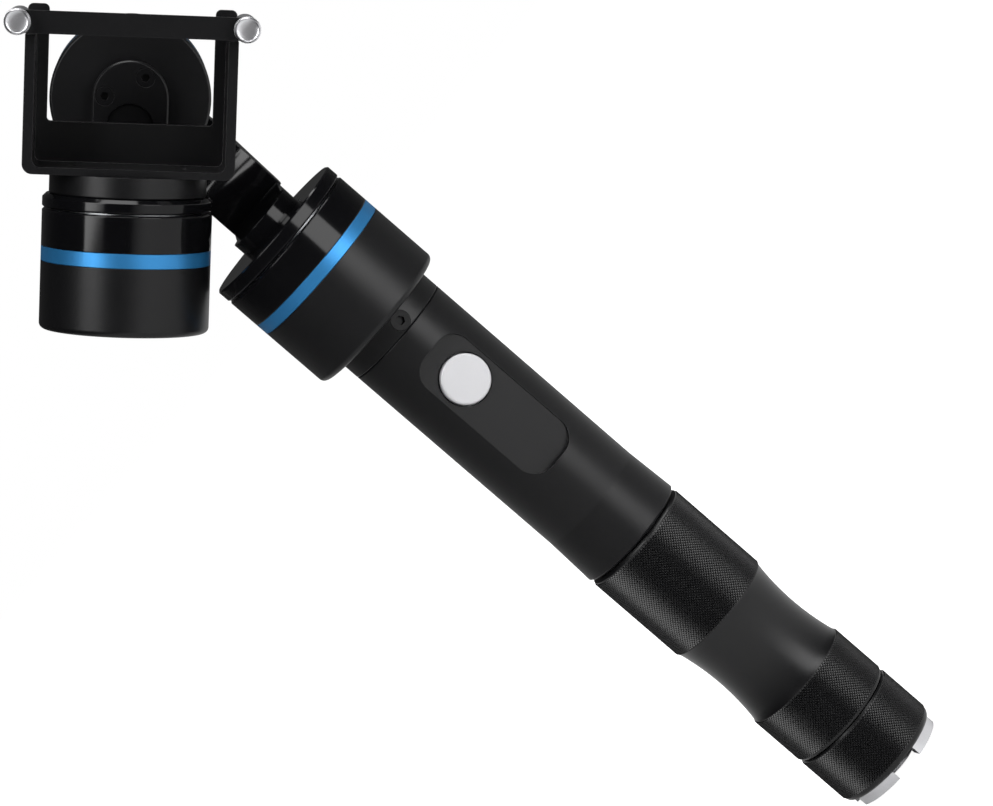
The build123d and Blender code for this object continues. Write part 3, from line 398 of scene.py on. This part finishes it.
def thumb_screw(name, node):
    """Thumb screw in a CAD screw's place, turned about the line through its middle."""
    low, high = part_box(node)
    length = high[1] - low[1]
    head_r = (high[0] - low[0]) / 2
    steps = 4 * SCREW_TEETH
    rows = [(SHANK_R, 0.0, False), (SHANK_R, length - HEAD_L, False)]
    rows += [(head_r - inset * MM, length - drop * MM, toothed) for inset, drop, toothed in HEAD_PROFILE]
    bm = bmesh.new()
    rings = []
    for radius, height, toothed in rows:
        ring = []
        for i in range(steps):
            turn = tau * i / steps
            dip = TOOTH_DEPTH * (0.5 - 0.5 * cos(SCREW_TEETH * turn)) if toothed else 0.0
            ring.append(bm.verts.new(((radius - dip) * cos(turn), (radius - dip) * sin(turn), height)))
        rings.append(ring)
    for lower, upper in zip(rings, rings[1:]):
        bridge(bm, lower, upper)
    bm.faces.new(rings[0])
    bm.faces.new(rings[-1])
    mesh = finished_mesh(name, bm, 35)
    forward = Vector((0, -1, 0))
    turned = Matrix((HEAD_ACROSS, forward.cross(HEAD_ACROSS), forward)).transposed().to_4x4()
    turned.translation = ((low[0] + high[0]) / 2, high[1], (low[2] + high[2]) / 2)
    mesh.transform(turned)
    return new_piece(name, mesh, node, MATERIALS["silver"], [node])


thumb_screw("left_thumb_screw_turned", "left_thumb_screw")
thumb_screw("right_thumb_screw_turned", "right_thumb_screw")

# ---------------------------------------------------------------------------------------
# Stage, lights and camera
# ---------------------------------------------------------------------------------------
scene = bpy.context.scene
scene.view_settings.view_transform = "Standard"

CAMERA_PLACE = Vector((37.2, -959.9, 256.0)) * MM
CAMERA_RIGHT = Vector((0.6573, -0.0811, -0.7492)).normalized()
CAMERA_UP = Vector((0.7528, 0.1180, 0.6475))
CAMERA_UP = (CAMERA_UP - CAMERA_RIGHT * CAMERA_UP.dot(CAMERA_RIGHT)).normalized()
CAMERA_BACK = CAMERA_RIGHT.cross(CAMERA_UP)
HEAD_CENTRE = Vector((0, 0, 0.2))

# A room that is dim in front and bright behind, so the black parts keep thin light rims, and
# plain white where the camera sees it.
world = bpy.data.worlds.new("studio")
scene.world = world
world.use_nodes = True
tree = world.node_tree
room = tree.nodes["Background"]
direction = tree.nodes.new("ShaderNodeTexCoord")
split = tree.nodes.new("ShaderNodeSeparateXYZ")
tree.links.new(direction.outputs["Generated"], split.inputs["Vector"])
depth = tree.nodes.new("ShaderNodeMapRange")
depth.interpolation_type = "SMOOTHSTEP"
for socket, value in {"From Min": 0.0, "From Max": 0.9, "To Min": 0.04, "To Max": 1.0}.items():
    depth.inputs[socket].default_value = value
tree.links.new(split.outputs["Y"], depth.inputs["Value"])
tree.links.new(depth.outputs["Result"], room.inputs["Strength"])
white = tree.nodes.new("ShaderNodeBackground")
white.inputs["Color"].default_value = (1, 1, 1, 1)
path = tree.nodes.new("ShaderNodeLightPath")
choice = tree.nodes.new("ShaderNodeMixShader")
tree.links.new(path.outputs["Is Camera Ray"], choice.inputs["Fac"])
tree.links.new(room.outputs["Background"], choice.inputs[1])
tree.links.new(white.outputs["Background"], choice.inputs[2])
tree.links.new(choice.outputs["Shader"], tree.nodes["World Output"].inputs["Surface"])

# The floor is paper, lit to nearly white where the camera sees it, so it meets the background.
FLOOR_SIZE = 4.0
FLOOR_GAP = 0.5 * MM
half = FLOOR_SIZE / 2
floor_z = cad_bounds[0][2] - FLOOR_GAP
floor_mesh = bpy.data.meshes.new("floor")
floor_mesh.from_pydata(
    [(-half, -half, floor_z), (half, -half, floor_z), (half, half, floor_z), (-half, half, floor_z)],
    [], [(0, 1, 2, 3)],
)
floor = bpy.data.objects.new("floor", floor_mesh)
scene.collection.objects.link(floor)
paper = material("floor_paper", (0.86, 0.86, 0.86), 0.9, variation=0.02, specular=0.1)
tree = paper.node_tree
shader = tree.nodes["Principled BSDF"]
shader.inputs["Emission Color"].default_value = (0.95, 0.95, 0.95, 1)
path = tree.nodes.new("ShaderNodeLightPath")
tree.links.new(path.outputs["Is Camera Ray"], shader.inputs["Emission Strength"])
floor_mesh.materials.append(paper)


def softbox(name, across, up, away, size, power):
    """Area light aimed at the head, placed across, up and back towards the camera, in metres."""
    data = bpy.data.lights.new(name, "AREA")
    data.shape = "RECTANGLE"
    data.size, data.size_y = size
    data.energy = power
    light = bpy.data.objects.new(name, data)
    offset = CAMERA_RIGHT * across + CAMERA_UP * up + CAMERA_BACK * away
    facing = offset.normalized()
    side = (CAMERA_UP.cross(facing)).normalized()
    light.matrix_world = (Matrix.Translation(HEAD_CENTRE + offset)
                          @ Matrix((side, facing.cross(side), facing)).transposed().to_4x4())
    scene.collection.objects.link(light)


softbox("key", across=-0.62, up=0.25, away=0.72, size=(0.5, 0.85), power=10)
softbox("fill", across=0.40, up=0.25, away=0.50, size=(0.30, 0.6), power=2.8)
softbox("top", across=-0.2, up=1.1, away=0.1, size=(0.9, 0.6), power=9)

camera_data = bpy.data.cameras.new("camera")
camera_data.lens = 159.5
camera_data.sensor_width = 36.0
camera_data.clip_start = 0.01
camera_data.clip_end = 20.0
camera = bpy.data.objects.new("camera", camera_data)
turned = Matrix((CAMERA_RIGHT, CAMERA_UP, CAMERA_BACK)).transposed().to_4x4()
camera.matrix_world = Matrix.Translation(CAMERA_PLACE) @ turned
scene.collection.objects.link(camera)
scene.camera = camera
